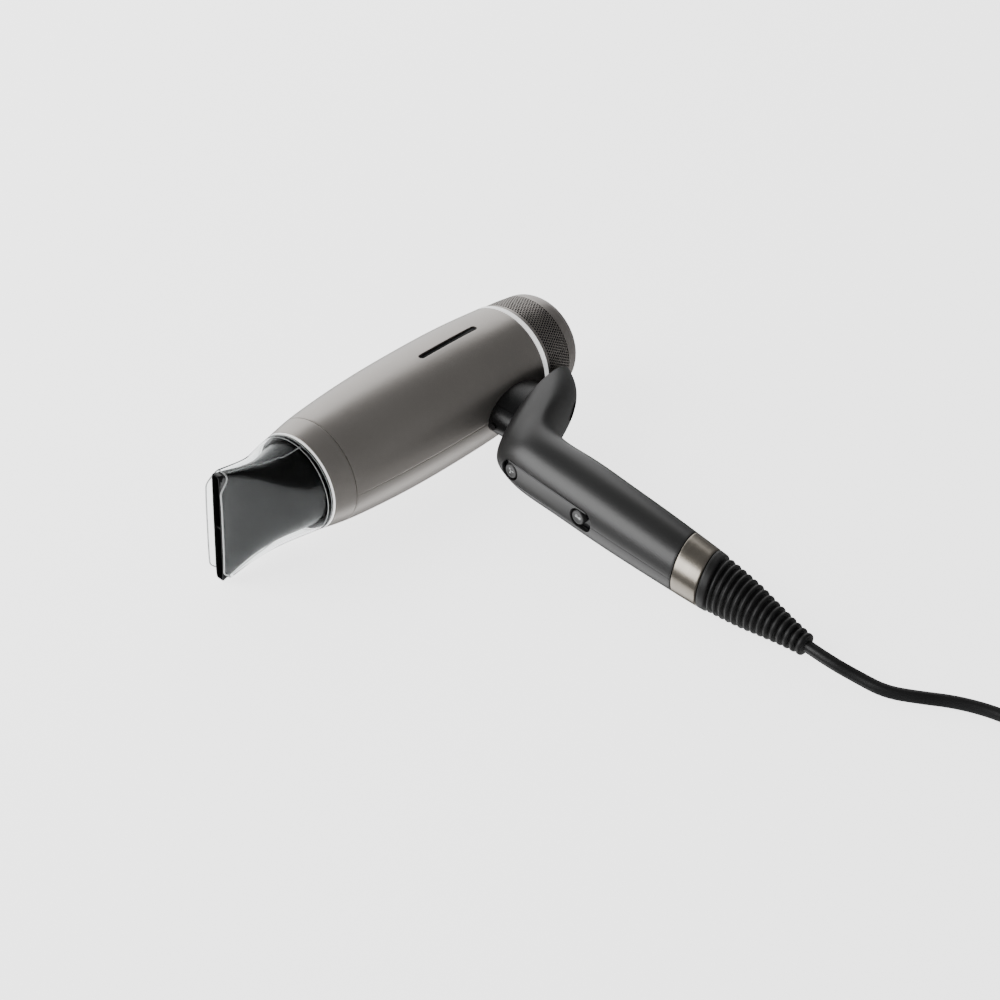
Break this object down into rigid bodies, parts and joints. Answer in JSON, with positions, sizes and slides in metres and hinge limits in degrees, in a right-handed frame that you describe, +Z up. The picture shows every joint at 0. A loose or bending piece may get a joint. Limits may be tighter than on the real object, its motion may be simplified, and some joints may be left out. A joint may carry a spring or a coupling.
{
  "type": "hair dryer",
  "caption": "Hair dryer with a bellied barrel, perforated rear filter, clear slot nozzle, hooked handle with three buttons, and a long cord with its plug.",
  "frame": {"origin": "under the middle of the dryer without its cord, on the surface that it lies on", "axes": "+X along the barrel from the nozzle to the rear filter, +Z up, with the dryer lying on its right side and its handle towards -Y"},
  "size_m": [0.3173, 0.5356, 0.0774],
  "materials": {
    "barrel_shell": "satin warm bronze-grey metallic lacquer",
    "handle_shell": "satin charcoal soft-sheen",
    "dark_plastic": "black gloss",
    "clear_plastic": "clear smoke-grey",
    "satin_metal": "satin champagne",
    "bright_metal": "bright polished",
    "filter_metal": "satin bronze-grey, perforated",
    "rubber": "matt black",
    "cord_jacket": "matt black",
    "mica": "pressed mica",
    "heating_wire": "oxidised",
    "copper": "enamelled winding",
    "steel": "ground",
    "circuit_board": "green solder mask",
    "plain_plastic": "moulded grey",
    "brass_pin": "nickel plated"
  },
  "bodies": {
    "dryer": {"barrel_left_shell": "barrel_shell", "barrel_right_shell": "barrel_shell", "front_collar": "barrel_shell", "collar_trim": "bright_metal", "rear_ring": "bright_metal", "lamp_lens": "dark_plastic", "lamp_board": "circuit_board", "air_duct": "mica", "outlet_grille": "dark_plastic", "collar_magnets": "steel", "heater_frame": "mica", "heater_winding": "heating_wire", "thermal_cutout": "steel", "ioniser": "plain_plastic", "motor_housing": "plain_plastic", "fan_shroud": "plain_plastic", "stator": "copper", "bearings": "steel", "motor_board": "circuit_board", "mount_rings": "rubber", "rear_frame": "dark_plastic", "neck_shell": "dark_plastic", "neck_cover": "dark_plastic", "neck_screw": "steel", "handle_left_shell": "handle_shell", "handle_right_shell": "handle_shell", "control_panel": "handle_shell", "control_board": "circuit_board", "button_switches": "dark_plastic", "power_board": "circuit_board", "inner_leads": "cord_jacket", "handle_band": "satin_metal", "boot": "rubber", "cord_clamp": "plain_plastic", "cord": "cord_jacket", "cord_tail": "cord_jacket", "cord_coil": "cord_jacket", "cord_tie": "rubber", "plug_body": "rubber", "plug_boot": "rubber", "plug_pins": "brass_pin"},
    "nozzle_seat": {"nozzle_ring": "dark_plastic"},
    "nozzle": {"nozzle_shell": "clear_plastic", "nozzle_core": "dark_plastic"},
    "filter": {"filter_sleeve": "filter_metal", "filter_cap": "filter_metal", "filter_mesh": "steel"},
    "fan_rotor": {"rotor": "steel", "impeller": "plain_plastic"},
    "fan_button": {"fan_button": "handle_shell"},
    "heat_button": {"heat_button": "handle_shell"},
    "rear_button": {"rear_button": "dark_plastic"}
  },
  "joints": [
    {"name": "nozzle_pull", "type": "slide", "parent": "dryer", "child": "nozzle_seat", "axis": [-1, 0, 0], "range_m": [0, 0.03]},
    {"name": "nozzle_turn", "type": "hinge", "parent": "nozzle_seat", "child": "nozzle", "pos_m": [-0.078, 0.12512, 0.0387], "axis": [1, 0, 0], "continuous": true},
    {"name": "filter_pull", "type": "slide", "parent": "dryer", "child": "filter", "axis": [1, 0, 0], "range_m": [0, 0.03]},
    {"name": "fan_spin", "type": "hinge", "parent": "dryer", "child": "fan_rotor", "pos_m": [0.05, 0.12512, 0.0387], "axis": [1, 0, 0], "continuous": true},
    {"name": "fan_button_press", "type": "slide", "parent": "dryer", "child": "fan_button", "axis": [0.9949, -0.1, -0.0099], "range_m": [0, 0.0008], "stiffness_N_per_m": 1500},
    {"name": "heat_button_press", "type": "slide", "parent": "dryer", "child": "heat_button", "axis": [0.9949, -0.1, -0.0099], "range_m": [0, 0.0008], "stiffness_N_per_m": 1500},
    {"name": "rear_button_press", "type": "slide", "parent": "dryer", "child": "rear_button", "axis": [-0.454, 0.8867, 0.0878], "range_m": [0, 0.001], "stiffness_N_per_m": 1500}
  ]
}
